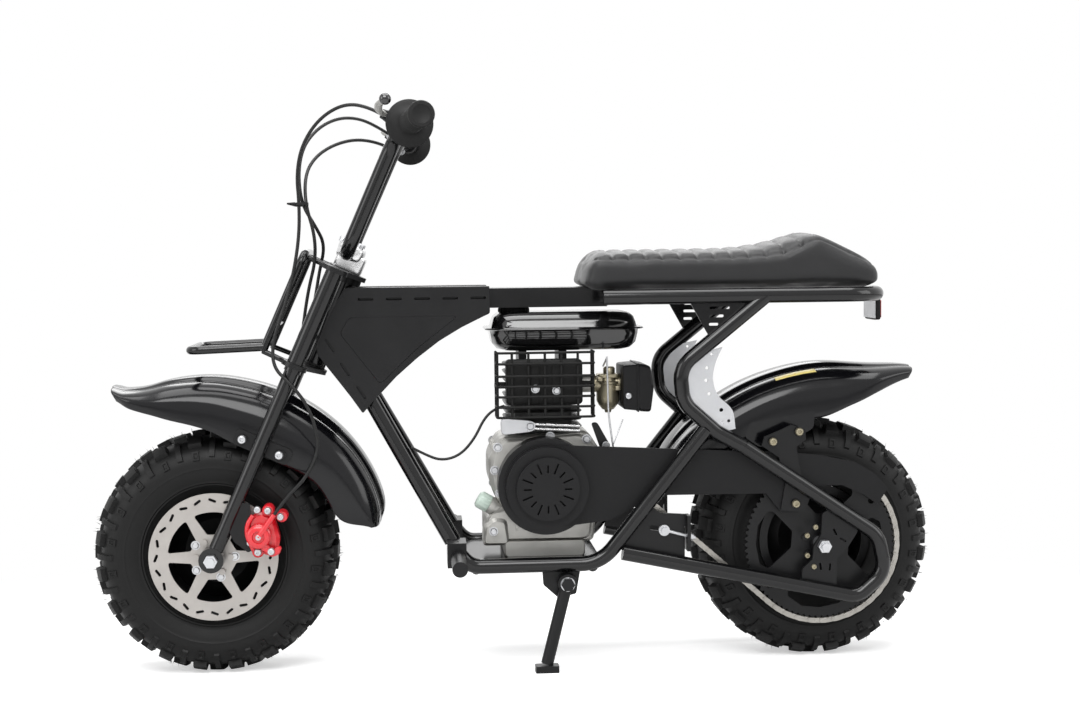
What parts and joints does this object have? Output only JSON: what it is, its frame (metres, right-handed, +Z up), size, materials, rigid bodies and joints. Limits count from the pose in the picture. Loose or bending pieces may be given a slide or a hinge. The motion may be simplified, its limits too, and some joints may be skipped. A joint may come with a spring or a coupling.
{
  "type": "mini dirt bike",
  "caption": "Small off-road motorcycle with balloon tyres, raked fork, high bars and a ribbed bench seat, parked on its side stand.",
  "frame": {"origin": "bottom centre of the leaning bike's box, on the floor", "axes": "+X forwards, +Y to the rider's left, the side it leans to, +Z up"},
  "size_m": [1.255, 0.6614, 0.844],
  "materials": {
    "airbox_plastic": "black moulding",
    "cable_black": "black cable sheath",
    "caliper_red": "red enamel",
    "carburettor_alloy": "cast alloy with a gold tint",
    "cast_alloy": "cast aluminium",
    "chain_steel": "plated steel",
    "cover_plastic": "matt black moulding",
    "disc_steel": "brushed stainless steel",
    "fender_plastic": "glossy black moulding",
    "gloss_black_steel": "glossy black powder coat on steel tube",
    "grip_rubber": "moulded rubber",
    "plug_plastic": "pale green moulding",
    "reflector_red": "red reflector",
    "satin_black_steel": "satin black paint on pressed steel",
    "seat_vinyl": "charcoal vinyl",
    "silencer_black": "heat-proof black",
    "tank_black": "glossy black enamel",
    "tyre_rubber": "moulded black rubber",
    "wheel_black": "black paint",
    "zinc_steel": "zinc plated"
  },
  "bodies": {
    "frame": {"head_tube": "gloss_black_steel", "top_tube": "gloss_black_steel", "down_tubes": "gloss_black_steel", "cradle_tubes": "gloss_black_steel", "engine_plate": "gloss_black_steel", "seat_rails": "gloss_black_steel", "seat_stays": "gloss_black_steel", "upper_stays": "gloss_black_steel", "lower_stays": "gloss_black_steel", "axle_plates": "satin_black_steel", "side_panel_left": "satin_black_steel", "side_panel_right": "satin_black_steel", "foot_pegs": "satin_black_steel", "rear_axle": "zinc_steel", "rear_fender": "fender_plastic", "fender_plates": "satin_black_steel", "adjuster_plates": "satin_black_steel", "eye_bolt": "zinc_steel", "stay_gussets": "zinc_steel", "seat": "seat_vinyl", "tail_bracket": "zinc_steel", "tail_reflector": "reflector_red", "engine_block": "cast_alloy", "fuel_tank": "tank_black", "muffler": "silencer_black", "muffler_guard": "silencer_black", "carburettor": "carburettor_alloy", "air_cleaner": "airbox_plastic", "recoil_starter": "airbox_plastic", "oil_plug": "plug_plastic", "chain_cover": "cover_plastic", "clutch_housing": "satin_black_steel", "countershaft": "zinc_steel", "drive_chain": "chain_steel", "stand_bracket": "satin_black_steel", "rear_spacers": "zinc_steel", "engine_wire": "cable_black"},
    "fork": {"fork_legs": "gloss_black_steel", "fork_plates": "satin_black_steel", "handlebar": "gloss_black_steel", "bar_clamp": "cast_alloy", "grips": "grip_rubber", "brake_levers": "cast_alloy", "front_fender": "fender_plastic", "front_rack": "gloss_black_steel", "front_axle": "zinc_steel", "front_caliper": "caliper_red", "caliper_bracket": "satin_black_steel", "fender_brackets": "satin_black_steel", "front_spacers": "zinc_steel", "front_brake_cable": "cable_black", "rear_brake_cable": "cable_black", "throttle_cable": "cable_black"},
    "front_wheel": {"front_tyre": "tyre_rubber", "front_rim": "wheel_black", "front_disc": "disc_steel"},
    "rear_wheel": {"rear_tyre": "tyre_rubber", "rear_rim": "wheel_black", "rear_sprocket": "wheel_black"},
    "side_stand": {"side_stand": "satin_black_steel"}
  },
  "joints": [
    {"name": "steering", "type": "hinge", "parent": "frame", "child": "fork", "pos_m": [0.2767, -0.01711, 0.5141], "axis": [-0.4067, 0.0558, 0.9118], "range_deg": [-30, 30]},
    {"name": "front_wheel_spin", "type": "hinge", "parent": "fork", "child": "front_wheel", "pos_m": [0.4475, -0.03753, 0.18027], "axis": [0, 0.9981, -0.061], "continuous": true},
    {"name": "rear_wheel_spin", "type": "hinge", "parent": "frame", "child": "rear_wheel", "pos_m": [-0.4475, -0.03753, 0.18027], "axis": [0, 0.9981, -0.061], "continuous": true},
    {"name": "stand_swing", "type": "hinge", "parent": "frame", "child": "side_stand", "pos_m": [-0.0655, 0.06059, 0.13019], "axis": [0, 0.9981, -0.061], "range_deg": [0, 95]}
  ]
}
